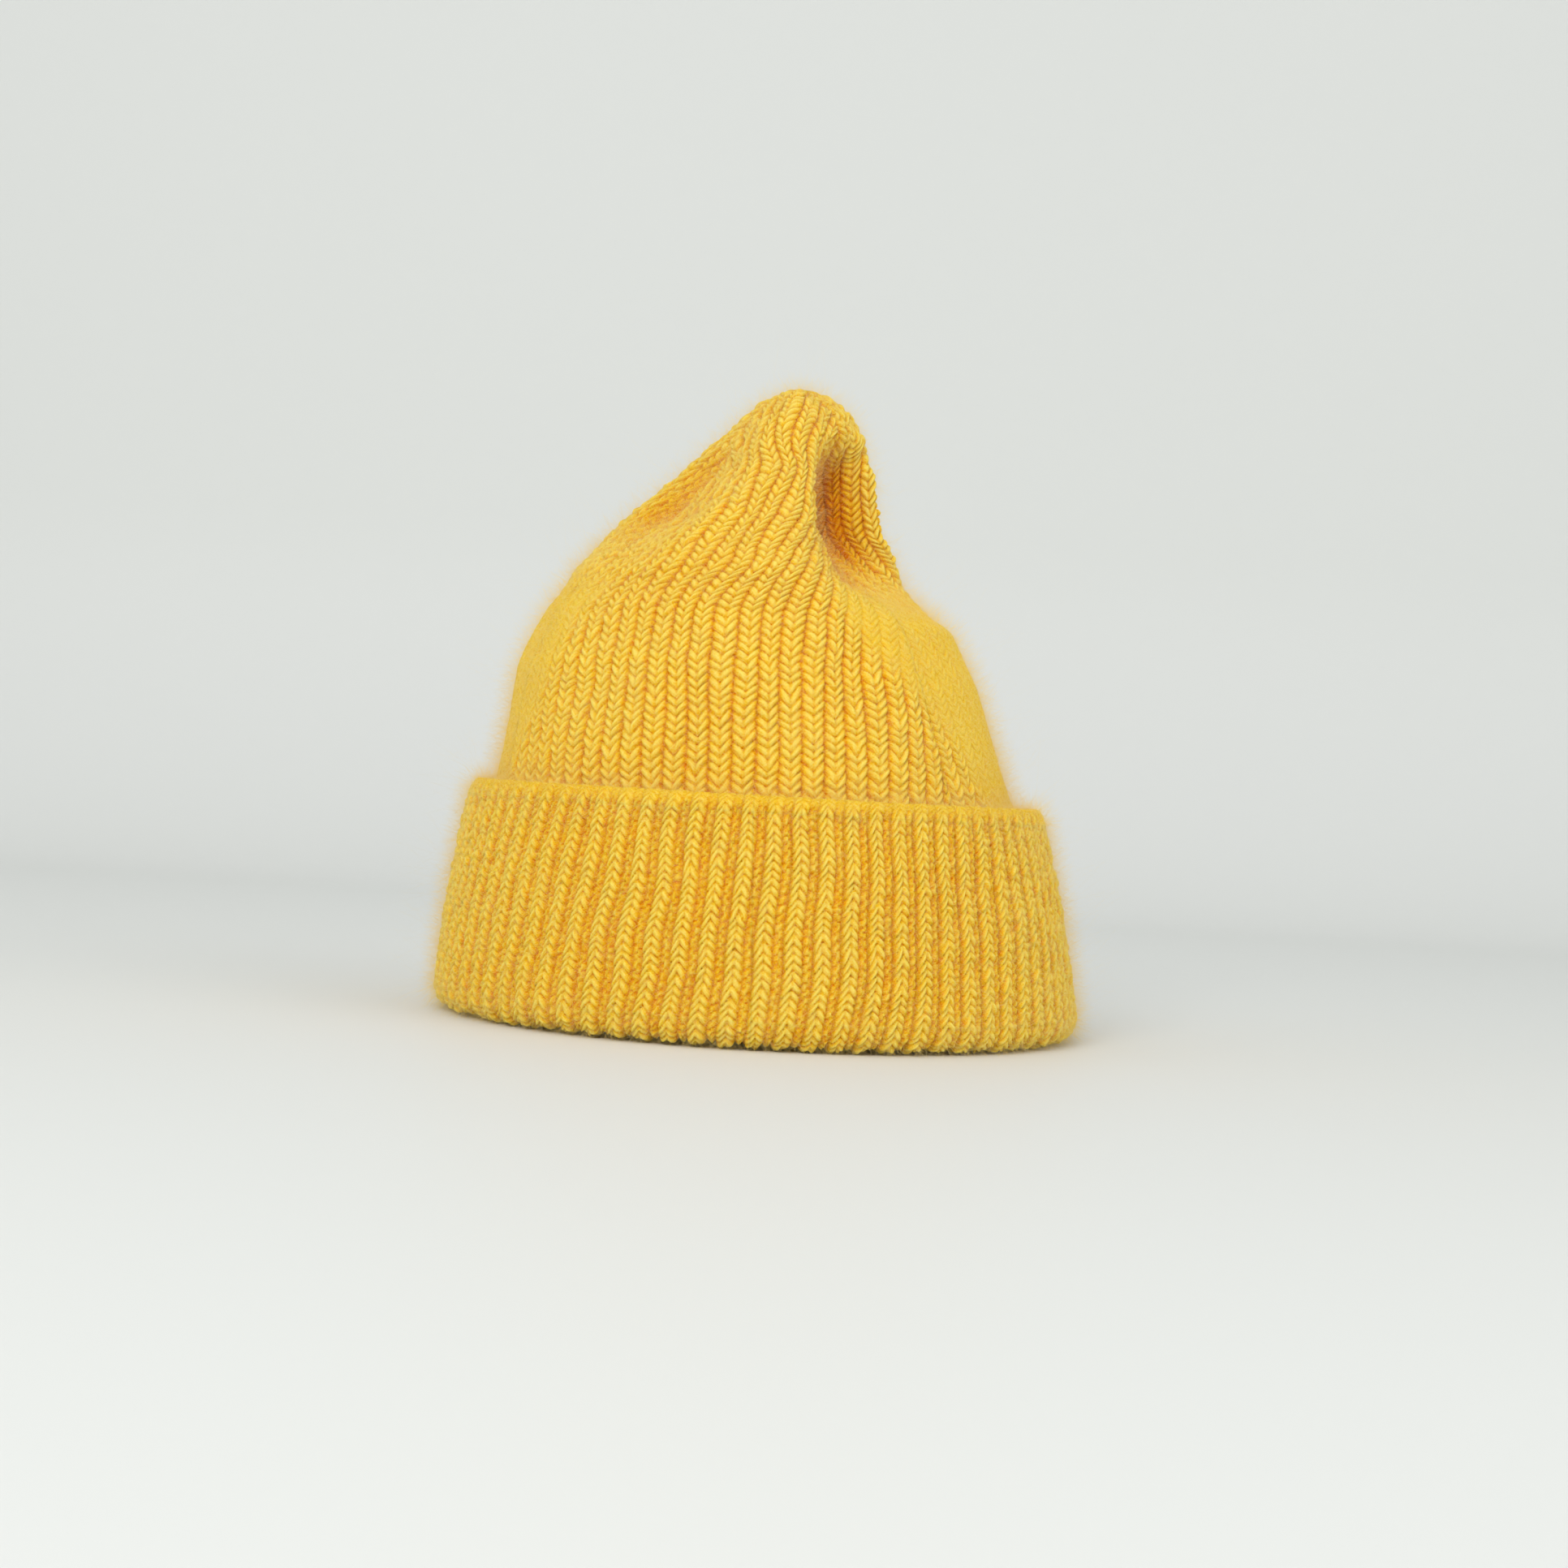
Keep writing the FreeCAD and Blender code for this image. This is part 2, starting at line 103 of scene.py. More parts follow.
# The cuff's surface.
PLY = 0.0052                # thickness of the cuff's plies
LET_DOWN = 0.052            # how far the cuff can be let down
CUFF_TWIST = math.radians(4.5)  # how far the cuff's ribs wander sideways from brim to edge
CUFF_STEP = 0.00045         # spacing of the cuff's mesh
RIB_SAMPLES = 16            # mesh columns across one rib of the cuff
TUCK = 0.0003               # how far a ply's hidden edge lies below the surface
END_ROWS = 6                # mesh rows over which a ply's relief turns to meet the next piece
FOLD_LIFT = 0.0019          # keeps the ribs of the fold above the plane that the hat stands on
FOLD_ROWS = 9.0             # rows of stitches round the fold
FOLD_ARC = 0.024            # length round the fold
BAND_ROWS = 45.0            # row count at the band's top: whole, so that its stitches meet the crown's
SMOOTH_TONE = 0.62          # depth of colour where a ply has no relief

# Colours of the wool: painted light on the tops of the strands, the wool's own middle tone, and painted shade
# in the gaps. UNDYED is the same for thread, and FLUFF runs from the deepest loose fibre to the palest.
LIT_TOP = (0.890, 0.700, 0.140)
MID = (0.850, 0.515, 0.015)
SHADED_GAP = (0.720, 0.200, 0.001)
UNDYED = ((0.86, 0.84, 0.78), (0.78, 0.75, 0.68), (0.52, 0.48, 0.40))
FLUFF = ((0.930, 0.680, 0.150), (0.950, 0.830, 0.460))

# The loose fibres, as (name, fibres on a square metre, length, radius, points along a fibre).
FIBRES = (
    ("short_fibres", 1.5e6, 0.0021, 0.000022, 3),
    ("long_fibres", 2.4e4, 0.0070, 0.000016, 4),
)
# How thickly they grow, as (from this depth of colour, up to this one, share).
FIBRE_GROWTH = ((0.18, 0.40, 0.35), (0.40, 2.0, 1.0))

brim_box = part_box("fold_edge")
cuff_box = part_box("turn_up_cuff")
edge_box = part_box("cast_on_edge")
band_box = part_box("inner_band")
tip_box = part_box("peak_tip")
RIM = brim_box[1].x         # outer radius of the brim
FOLD_TOP = cuff_box[0].z    # where the straight plies start
BAND_TOP = band_box[1].z
BAND_TOP_RADIUS = 0.0849    # of the ply inside the cuff, where it meets the crown
BAND_LEAN = -0.0034         # how far its top lies to the left
EDGE_TOP = edge_box[1].z
EDGE_RADIUS = (edge_box[1].x - edge_box[0].x) / 2
EDGE_LEAN = (edge_box[1].x + edge_box[0].x) / 2
PEAK_TOP = tip_box[1].z

# The crown's four panels between their valleys, in degrees round from the front towards +X.
PANELS = {
    "crown_front": (-70.0, 45.0),
    "crown_right": (45.0, 130.0),
    "crown_back": (130.0, 222.0),
    "crown_left": (222.0, 290.0),
}
# The crown's centre line, as (height, sideways lean).
CENTRE_LINE = (
    (0.066, -0.0034), (0.090, -0.0052), (0.110, -0.0072), (0.128, -0.0080), (0.141, -0.0040),
    (0.158, -0.0005), (0.176, 0.0020), (0.187, 0.0030), (0.198, 0.0040), (0.2045, 0.0045),
)
# Where the front's clear stitches give way to the felted shoulders, as (height, degrees from the front).
RIGHT_SHOULDER = ((0.066, 58.0), (0.094, 46.0), (0.112, 32.0), (0.135, 18.0))
LEFT_SHOULDER = ((0.066, -66.0), (0.095, -54.0), (0.135, -46.0))
SHOULDER_REAR = 125.0       # how far round the shoulders reach, in degrees
SHOULDER_TOP = 0.146        # height where they end
FELTING = 0.8               # how much of the relief brushing hides there
FELTED_TONE = 0.72          # depth of colour there, where the fibres lie on top and hide the gaps; its pale tone is also painted sheen


# --------------------------------------------------------------------------------------------------------
# Small tools
# --------------------------------------------------------------------------------------------------------

def lean_at(height):
    """How far the crown's centre line lies to the right at a height."""
    levels, leans = zip(*CENTRE_LINE)
    return np.interp(height, levels, leans)


def rise(distance, width):
    """A soft step from 0 to 1 over a width."""
    share = np.clip(distance / width, 0, 1)
    return share * share * (3 - 2 * share)


def smooth(values, radius, axis, wrap):
    """A running average with a cosine window, along one axis."""
    window = np.hanning(2 * radius + 3)[1:-1]
    window /= window.sum()
    pad = [(0, 0)] * values.ndim
    pad[axis] = (radius, radius)
    padded = np.pad(values, pad, mode="wrap" if wrap else "edge")
    result = np.zeros_like(values)
    for step, weight in enumerate(window):
        span = [slice(None)] * values.ndim
        span[axis] = slice(step, step + values.shape[axis])
        result += weight * padded[tuple(span)]
    return result


def sample_round(grid, row, column):
    """Values of a grid at fractional rows and columns, where the columns run full circle."""
    rows, columns = grid.shape[:2]
    row = np.clip(row, 0, rows - 1.001)
    lower = np.floor(row).astype(int)
    row_share = row - lower
    left = np.floor(column).astype(int)
    column_share = column - left
    left, right = left % columns, (left + 1) % columns
    if grid.ndim == 3:
        row_share, column_share = row_share[..., None], column_share[..., None]
    low = grid[lower, left] * (1 - column_share) + grid[lower, right] * column_share
    high = grid[lower + 1, left] * (1 - column_share) + grid[lower + 1, right] * column_share
    return low * (1 - row_share) + high * row_share


def sample_rows(grid, where):
    """Linear values of a 3-D grid at fractional rows."""
    low = np.clip(np.floor(where).astype(int), 0, len(grid) - 2)
    share = (where - low)[:, None, None]
    return grid[low] * (1 - share) + grid[low + 1] * share


def wander(rng, rows, columns, row_reach, column_reach):
    """Smooth noise of unit spread on a grid. It is made with a margin and cut to size."""
    noise = rng.standard_normal((rows + 2 * row_reach, columns + 2 * column_reach))
    noise = smooth(noise, row_reach, 0, False)
    noise = smooth(noise, column_reach, 1, False)
    noise = noise[row_reach:row_reach + rows, column_reach:column_reach + columns]
    return noise / noise.std()


def grid_normals(points):
    """Outward normals of a grid whose columns run round the hat and whose rows run up."""
    normal = np.cross(np.gradient(points, axis=1), np.gradient(points, axis=0))
    length = np.linalg.norm(normal, axis=2, keepdims=True)
    return normal / np.maximum(length, TINY)


def new_mesh(name, vertices, faces, attributes=None):
    """A mesh object from arrays. faces is a list of arrays, each with the same number of corners per face."""
    mesh = bpy.data.meshes.new(name)
    counts = np.concatenate([np.full(len(block), block.shape[1]) for block in faces])
    corners = np.concatenate([block.ravel() for block in faces]).astype(np.int32)
    starts = np.concatenate([[0], np.cumsum(counts)[:-1]]).astype(np.int32)
    mesh.vertices.add(len(vertices))
    mesh.vertices.foreach_set("co", np.ascontiguousarray(vertices, np.float32).ravel())
    mesh.loops.add(len(corners))
    mesh.loops.foreach_set("vertex_index", corners)
    mesh.polygons.add(len(counts))
    mesh.polygons.foreach_set("loop_start", starts)
    mesh.polygons.foreach_set("use_smooth", np.ones(len(counts), dtype=bool))
    mesh.update(calc_edges=True)
    mesh.validate()
    for label, values in (attributes or {}).items():
        layer = mesh.attributes.new(label, "FLOAT", "POINT")
        layer.data.foreach_set("value", np.ascontiguousarray(values, np.float32).ravel())
    obj = bpy.data.objects.new(name, mesh)
    bpy.context.scene.collection.objects.link(obj)
    return obj


def quads(rows, columns, wrap_rows, wrap_columns):
    """Corner indices of a grid's faces, facing out when columns run round and rows run up."""
    row = np.arange(rows if wrap_rows else rows - 1)
    column = np.arange(columns if wrap_columns else columns - 1)
    r0, c0 = np.meshgrid(row, column, indexing="ij")
    r1, c1 = (r0 + 1) % rows, (c0 + 1) % columns
    index = np.stack([r0 * columns + c0, r0 * columns + c1, r1 * columns + c1, r1 * columns + c0], -1)
    return index.reshape(-1, 4)


# --------------------------------------------------------------------------------------------------------
# Knit relief
# --------------------------------------------------------------------------------------------------------

def rounded(phase):
    """The round back of a strand: 1 along its middle and 0 in the grooves either side."""
    f = phase - np.floor(phase)
    return np.sqrt(np.maximum(1.0 - (2.0 * f - 1.0) ** 2, 0.0))


def hand(rng):
    """The unevenness of hand knitting, by row and rib column: row shifts, leg sizes and sideways drift."""
    shift = rng.standard_normal((KNITTED_ROWS, RIBS))
    drift = smooth(smooth(rng.standard_normal((KNITTED_ROWS, RIBS)), 5, 0, False), 2, 1, True)
    return {
        "shift": 0.13 * (shift + 0.6 * np.roll(shift, 1, 0)),
        "size": rng.uniform(0.6, 1.4, (KNITTED_ROWS, RIBS, 2)),
        "drift": drift / drift.std(),
    }


def knit_relief(rib, row, knitting, slopes, rib_share, relief, purl):
    """Relief of one-by-one rib knit. rib counts rib columns and row counts rows, both as arrays.

    slopes are how many rows the left and right legs of a stitch climb from the middle of a rib to its side,
    and rib_share is the width of a rib in its period. Where purl is set, the gaps between the ribs show the
    bumps of the purl stitches. Returns (height, leg phase, depth), and depth runs from 0 in the gaps to 1 on
    top: it sets the painted shade that deepens the colour in the gaps and the painted light on the strands'
    tops.
    """
    column = np.floor(rib).astype(int)
    across = rib - column - 0.5
    column = np.mod(column, RIBS)
    last = KNITTED_ROWS - 1
    shift = sample_round(knitting["shift"], row + ROW_LEAD, column + 0.0)

    half = rib_share / 2
    aside = np.minimum(np.abs(across) / half, 1.0)      # 0 in the middle of the rib and 1 at its side
    on_rib = aside < 1.0
    side = (across > 0).astype(int)
    slope = np.where(across < 0, slopes[0], slopes[1])
    leg = row + shift - slope * aside
    leg_line = np.clip(np.floor(leg).astype(int) + ROW_LEAD, 0, last)
    leg_size = knitting["size"][leg_line, column, side]
    strand = rounded(leg)
    crest = np.sqrt(np.maximum(1.0 - aside ** 3.2, 0.0))
    if not purl:
        crest = np.maximum(crest, EDGE_TOUCH * strand)
    middle_groove = 1.0 - 0.34 * np.exp(-((aside / 0.15) ** 2))
    taper = np.clip(np.sin(np.pi * (0.16 + 0.72 * aside)), 0, 1) ** 0.5
    leg_height = LEG_RELIEF * (leg_size * taper * (strand - 0.55) + 0.5 * (leg_size - 1))
    height = relief * crest * middle_groove + leg_height * on_rib
    # Painted shade and light: the colour is deepest in the gaps and palest on the round backs of the legs.
    depth = crest * middle_groove * (0.12 + 0.88 * strand)
    if purl:
        gap = np.clip((np.abs(across) - half) / (0.5 - half), 0, 1)
        bump_row = row + shift + np.sign(across) * (0.25 + 0.10 * (1 - gap))
        line = np.clip(np.floor(row).astype(int) + ROW_LEAD, 0, last)
        bump = rounded(bump_row) * np.sqrt(gap) * knitting["size"][line, column, side]
        height = np.where(on_rib, height, 0.85 * relief * bump * np.minimum(1, 1.4 * gap))
        # Painted shade between the purl bumps, and a paler tone on their tops.
        depth = np.where(on_rib, depth, 0.16 + 0.55 * bump)
        leg = np.where(on_rib, leg, bump_row)
    return height, leg, np.clip(depth, 0, 1)


# --------------------------------------------------------------------------------------------------------
# The crown's base surface, read from the CAD solids
# --------------------------------------------------------------------------------------------------------

def read_crown():
    """Outer radius of the CAD crown by height and whole degree, from rays that come in from outside."""
    names = list(PANELS) + ["peak_fold", "peak_tip"]
    graph = bpy.context.evaluated_depsgraph_get()
    trees = [BVHTree.FromObject(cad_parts[name], graph) for name in names]
    heights = np.arange(BAND_TOP + 0.0005, PEAK_TOP - TIP_DOME, 0.001)
    degrees = np.arange(360)
    far = 0.2
    radii = np.full((len(heights), 360), np.nan)
    for i, height in enumerate(heights):
        centre = Vector((float(lean_at(height)), 0.0, float(height)))
        for degree in degrees:
            angle = math.radians(degree)
            out = Vector((math.sin(angle), -math.cos(angle), 0.0))
            hits = [tree.ray_cast(centre + out * far, -out)[0] for tree in trees]
            reached = [(hit - centre).dot(out) for hit in hits if hit is not None]
            outermost = max(reached, default=0.0)
            if outermost > 0:
                radii[i, degree] = outermost
    for i in range(len(heights)):
        missed = np.isnan(radii[i])
        if missed.all():
            radii[i] = radii[i - 1]
        elif missed.any():
            radii[i, missed] = np.interp(degrees[missed], degrees[~missed], radii[i, ~missed], period=360)
    radii = smooth(radii, 1, 1, True)
    radii = smooth(radii, 2, 0, False)
    return heights, radii


def crown_surface(heights, radii):
    """The crown's base points on a fine grid: equal steps up the hat by whole degrees round it."""
    degrees = np.radians(np.arange(360))
    lean = lean_at(heights)[:, None]
    level = np.repeat(heights[:, None], 360, 1)
    points = np.stack([lean + radii * np.sin(degrees), -radii * np.cos(degrees), level], -1)
    last = points[-1]
    centre = last.mean(0)
    dome_rows = 30
    dome = []
    for step in range(1, dome_rows + 1):
        scale = 1 - 0.96 * step / dome_rows
        ring = centre + (last - centre) * scale
        ring[:, 2] = last[:, 2] + (TIP_DOME - 0.0004) * (1 - scale ** 1.5)
        dome.append(ring)
    points = np.concatenate([points, np.stack(dome)])
    step = np.linalg.norm(np.diff(points, axis=0), axis=2)
    travel = np.concatenate([[0], np.cumsum(np.percentile(step, 70, axis=1))])
    count = int(travel[-1] / GRID)
    where = np.interp(np.linspace(0, travel[-1], count), travel, np.arange(len(travel)))
    return sample_rows(points, where)


def hollows(surface):
    """How deep each point of the surface lies below the folds round it, from 0 outside to 1 in a hollow."""
    centre = surface[:, :, :2].mean(1, keepdims=True)
    radius = np.linalg.norm(surface[:, :, :2] - centre, axis=2)
    reach = radius.copy()
    for turn in range(-60, 61, 3):
        reach = np.maximum(reach, np.roll(radius, turn, 1) * math.cos(math.radians(turn)))
    return np.clip((reach - radius - HOLLOW_START) / HOLLOW_DEPTH, 0, 1)


def sunken(surface):
    """The surface with its hollows drawn in further, where slack fabric sinks below the CAD's faces."""
    centre = surface.mean(1, keepdims=True)
    out = (surface - centre) * (1, 1, 0)
    reach = np.maximum(np.linalg.norm(out, axis=2, keepdims=True), TINY)
    near_end = np.clip((surface[..., 2:] - SINK_END) / 0.012, 0, 1)
    sink = HOLLOW_SINK * hollows(surface)[..., None] * (1 - near_end)
    sink = smooth(smooth(sink, 3, 1, True), 6, 0, False)
    return surface - out / reach * np.minimum(sink, 0.3 * reach)


def felted(azimuth, height):
    """How far brushing hides the stitches: 1 on both shoulders, and 0 in front, behind and on the peak."""
    turn = (azimuth + 180) % 360 - 180
    right = rise(turn - np.interp(height, *zip(*RIGHT_SHOULDER)), 9)
    left = rise(np.interp(height, *zip(*LEFT_SHOULDER)) - turn, 9)
    rear = rise(SHOULDER_REAR - np.abs(turn), 14)
    return np.maximum(right, left) * rear * rise(SHOULDER_TOP - height, 0.016)


def panel_base(surface, first, last):
    """A panel's part of the surface, with its columns evenly spaced on every row.

    Returns (points, row numbers, azimuths in degrees, widths of the rows, radius at the foot).
    """
    foot_radius = np.linalg.norm(surface[0, :, :2] - surface[0, :, :2].mean(0), axis=1).mean()
    columns = int(math.radians(last - first) * foot_radius / GRID)
    rows = len(surface)
    angle = np.linspace(first, last, columns)
    row_index = np.repeat(np.arange(rows)[:, None], columns, 1).astype(float)
    base = sample_round(surface, row_index, np.repeat((angle % 360.0)[None, :], rows, 0))
    step = np.linalg.norm(np.diff(base, axis=1), axis=2)
    arc = np.concatenate([np.zeros((rows, 1)), np.cumsum(step, axis=1)], axis=1)
    even = np.linspace(0, 1, columns)
    azimuth = np.stack([np.interp(even * arc[i, -1], arc[i], angle) for i in range(rows)])
    base = sample_round(surface, row_index, azimuth % 360.0)
    return base, row_index, azimuth, arc[:, -1:], foot_radius


def crown_panel(name, surface, rows_up, first, last, rng, knitting):
    """One fashioned panel: its ribs run parallel to its middle and end in the valleys on either side."""
    base, row_index, azimuth, width, foot_radius = panel_base(surface, first, last)
    rows, columns = azimuth.shape
    even = np.linspace(0, 1, columns)

    top_share = np.clip((rows_up - rows_up[0]) / (rows_up[-1] - rows_up[0]), 0, 1)[:, None]
    pitch = 2 * math.pi * foot_radius / RIBS * (1.0 - TIP_NARROWING * top_share ** 1.5)
    middle_rib = (first + last) / 2 / 360 * RIBS
    steps = smooth(np.linalg.norm(np.diff(surface, axis=0), axis=2), 8, 1, True)
    climb = np.concatenate([np.zeros((1, steps.shape[1])), np.cumsum(steps, axis=0)])
    climb = sample_round(climb, row_index, azimuth % 360.0)
    row = (0.4 * climb + 0.6 * rows_up[:, None]) / CROWN_ROW
    drift = 0.10 * wander(rng, rows, columns, 40, 30)
    across = (even[None, :] - 0.5) * width
    rib = middle_rib + across / pitch + drift * np.minimum(1, row / EVEN_ROWS)

    foot = np.clip(1 - (base[..., 2] - base[0, 0, 2]) / CROWN_FOOT, 0, 1)[..., None]
    axis = np.stack([lean_at(base[..., 2]), 0 * row, base[..., 2]], -1)
    out = base - axis
    reach = np.linalg.norm(out, axis=2, keepdims=True)
    base = axis + out / reach * (reach + (BAND_TOP_RADIUS - reach) * foot)

    height, leg, depth = knit_relief(
        rib, row, knitting, CROWN_LEGS, CROWN_RIB_SHARE, CROWN_RELIEF, False
    )
    felt = felted(azimuth, base[..., 2])
    height = height * (1 - FELTING * felt) + CROWN_RELIEF / 2 * FELTING * felt
    depth = depth * (1 - FELTING * felt) + FELTED_TONE * FELTING * felt

    from_seam = np.minimum(even, 1 - even)[None, :] * width
    seam_fade = np.maximum(np.clip(from_seam / SEAM_GROOVE, 0, 1), felt)
    seam_fade = np.maximum(seam_fade, np.clip(1 - row / EVEN_ROWS, 0, 1))
    puff_fade = np.clip(from_seam / (10 * SEAM_GROOVE), 0, 1)
    tip_fade = np.clip((rows - 1 - np.arange(rows)) / TIP_FADE, 0, 1)[:, None]
    puff = PUFF * wander(rng, rows, columns, 60, 60)
    normal = smooth(grid_normals(base), 3, 1, False)
    normal /= np.maximum(np.linalg.norm(normal, axis=2, keepdims=True), TINY)
    offset = ((height - CROWN_SINK * CROWN_RELIEF) * seam_fade + puff * puff_fade) * tip_fade
    outer = base + normal * offset[..., None]

    # Painted shade: the colour deepens in the seam grooves beside the panel's edges and, by HOLLOW_SHADE, in
    # the hollows.
    depth = depth * (0.35 + 0.65 * seam_fade)
    depth = depth * (1 - HOLLOW_SHADE * sample_round(hollows(surface), row_index, azimuth % 360.0))
    return shell(name, outer, normal, CROWN_PLY, {"leg": leg, "depth": depth, "rib": rib})


def shell(name, outer, normal, thickness, attributes):
    """A closed shell: a fine outer grid, a coarse inner grid, walls along its sides and caps at its ends."""
    rows, columns = outer.shape[:2]
    inner_columns = np.linspace(columns - 1, 0, max(columns // 8, 6)).astype(int)
    inner = outer[:, inner_columns] - normal[:, inner_columns] * thickness
    loop = np.concatenate([outer, inner], axis=1)
    total = loop.shape[1]
    faces = quads(rows, total, False, True)
    bottom = np.arange(total)[::-1][None, :]
    top = (np.arange(total) + (rows - 1) * total)[None, :]
    layers = {}
    for label, values in attributes.items():
        layers[label] = np.concatenate([values, values[:, inner_columns]], axis=1)
    return new_mesh(name, loop.reshape(-1, 3), [faces, bottom, top], layers)


# --------------------------------------------------------------------------------------------------------
# The cuff, from turned profiles
# --------------------------------------------------------------------------------------------------------

def turned_piece(name, profile, knitting, turn, inside_out=True):
    """A closed ring of fabric.

    profile is a closed loop of (radius, height, lean, row, strength), which runs up the outside of the hat or
    up over an edge and down its inside; strength is the relief there, from 0 to 1. turn says how far the ribs
    have wandered round the hat at a height. The cuff shows the fabric inside out and stretched, and the ply
    inside it shows the crown's side of the fabric.
    """
    profile = np.array(profile)
    columns = RIBS * RIB_SAMPLES
    angle = np.linspace(0, 2 * math.pi, columns, endpoint=False)[None, :]
    radius, height, lean, row, strength = (profile[:, k][:, None] for k in range(5))
    points = np.stack([lean + radius * np.sin(angle), -radius * np.cos(angle), height + 0 * angle], -1)
    row = row + 0 * angle
    rib = (angle - turn(height)) / (2 * math.pi) * RIBS
    rib = rib + 0.06 * sample_round(knitting["drift"], row + ROW_LEAD, np.mod(rib, RIBS))
    if inside_out:
        legs, share, relief, sink = CUFF_LEGS, CUFF_RIB_SHARE, CUFF_RELIEF, CUFF_SINK
    else:
        legs, share, relief, sink = CROWN_LEGS, CROWN_RIB_SHARE, CROWN_RELIEF, CROWN_SINK
    values, leg, depth = knit_relief(rib, row, knitting, legs, share, relief, inside_out)
    last = np.flatnonzero(profile[:, 4] > 0)[-1]        # the last row that shows
    before, after = np.roll(points, 1, 0), np.roll(points, -1, 0)
    before[0], after[last] = points[0], points[last]
    across = np.roll(points, -1, 1) - np.roll(points, 1, 1)
    normal = np.cross(across, after - before)
    normal /= np.maximum(np.linalg.norm(normal, axis=2, keepdims=True), TINY)
    radial = np.stack([np.sin(angle), -np.cos(angle), 0 * angle], -1)[0]
    for end in (0, last):
        side = np.sign((normal[end] * radial).sum(1, keepdims=True))
        for step in range(END_ROWS):
            near = normal[min(step, last) if end == 0 else max(last - step, 0)]
            weight = 1 - step / END_ROWS
            near += (side * radial - near) * weight
    offset = (values - sink * relief) * strength
    points = points + normal * offset[..., None]
    faces = quads(len(profile), columns, True, True)
    layers = {"leg": leg, "depth": depth * strength + SMOOTH_TONE * (1 - strength), "rib": rib}
    return new_mesh(name, points.reshape(-1, 3), [faces], layers)


def cuff_radius(height):
    """Outer radius of the turned-up ply at a height."""
    share = np.clip((height - FOLD_TOP) / (EDGE_TOP - PLY - FOLD_TOP), 0, 1)
    belly = 0.0010 * np.sin(np.pi * share)
    return RIM - 0.0008 + (EDGE_RADIUS + 0.0006 - RIM) * share + belly


def cuff_lean(height):
    return EDGE_LEAN * np.clip((height - FOLD_TOP) / (EDGE_TOP - PLY - FOLD_TOP), 0, 1)


def cuff_turn(height):
    """How far the cuff's ribs have wandered round the hat at a height, as an angle."""
    return CUFF_TWIST * (height / EDGE_TOP - 0.5)


def band_turn(height):
    """The same for the ply inside the cuff, whose ribs run from the fold's to the crown's."""
    return cuff_turn(FOLD_TOP) * np.clip((BAND_TOP - height) / (BAND_TOP - FOLD_TOP), 0, 1)


def tucked(edge, up):
    """Two rows that carry a ply on past its edge, just under the surface of the piece that it meets."""
    radius, height, lean, row, strength = edge
    hidden = []
    for inward, beyond in ((4, 2.5), (0.6, 2)):
        climb = up * TUCK * beyond
        hidden.append((radius - TUCK * inward, height + climb, lean, row + climb / CUFF_ROW, strength))
    return hidden


def turned_up_ply(knitting):
    """The outer ply of the cuff, from the fold to its cast-on edge."""
    foot = edge_box[0].z
    heights = np.arange(FOLD_TOP, foot + CUFF_STEP / 2, CUFF_STEP)
    heights *= foot / heights[-1]
    heights[0] = FOLD_TOP
    profile = [
        (cuff_radius(z), z, cuff_lean(z), FOLD_ROWS + (z - FOLD_TOP) / CUFF_ROW, 1.0) for z in heights
    ]
    profile = tucked(profile[0], -1) + profile + tucked(profile[-1], 1)[::-1]
    profile += [
        (cuff_radius(z) - PLY, z, cuff_lean(z), 0.0, 0.0) for z in np.linspace(foot, FOLD_TOP, 12)
    ]
    cuff = turned_piece("cuff_knit", profile, knitting, cuff_turn)
    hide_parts("turn_up_cuff")
    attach(cuff, "brim")
    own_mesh(cuff)
    return cuff


def fold_at_brim(knitting):
    """The rounded fold that the hat stands on."""
    outer = cuff_radius(FOLD_TOP)
    inner = RIM - 2 * PLY - 0.0008
    middle, half = (outer + inner) / 2, (outer - inner) / 2
    depth = FOLD_TOP - FOLD_LIFT
    turns = np.linspace(math.pi, 0, int(FOLD_ARC / CUFF_STEP))
    profile = []
    for turn in turns:
        radius = middle + half * math.cos(turn)
        height = FOLD_TOP - depth * math.sin(turn) ** 0.8
        profile.append((radius, height, 0.0, FOLD_ROWS * (1 - turn / math.pi), 1.0))
    profile += tucked(profile[-1], 1)[::-1]
    profile += [(middle + half * k, FOLD_TOP, 0.0, 0.0, 0.0) for k in (0.6, 0.2, -0.2, -0.6)]
    fold = turned_piece("fold_knit", profile, knitting, cuff_turn)
    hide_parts("fold_edge")
    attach(fold, "brim")
    return fold


def cast_on_lip(knitting):
    """The loose, rounded cast-on edge: the ribs run out into a smooth fuzzy lip."""
    foot = edge_box[0].z
    outer = cuff_radius(foot)
    middle, half = outer - PLY / 2, PLY / 2
    climb = EDGE_TOP - foot
    first_row = FOLD_ROWS + (foot - FOLD_TOP) / CUFF_ROW
    turns = np.linspace(0, math.pi, 34)
    profile = []
    for turn in turns:
        radius = middle + half * math.copysign(abs(math.cos(turn)) ** 0.7, math.cos(turn))
        height = foot + climb * math.sin(turn) ** 0.8
        strength = max(0.18, 1.0 - 1.25 * math.sin(turn))
        profile.append((radius, height, EDGE_LEAN, first_row + turn * climb / CUFF_ROW, strength))
    profile = tucked(profile[0], -1) + profile
    lip = turned_piece("cast_on_edge_knit", profile, knitting, cuff_turn)
    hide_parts("cast_on_edge")
    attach(lip, "cuff_edge")
    return lip


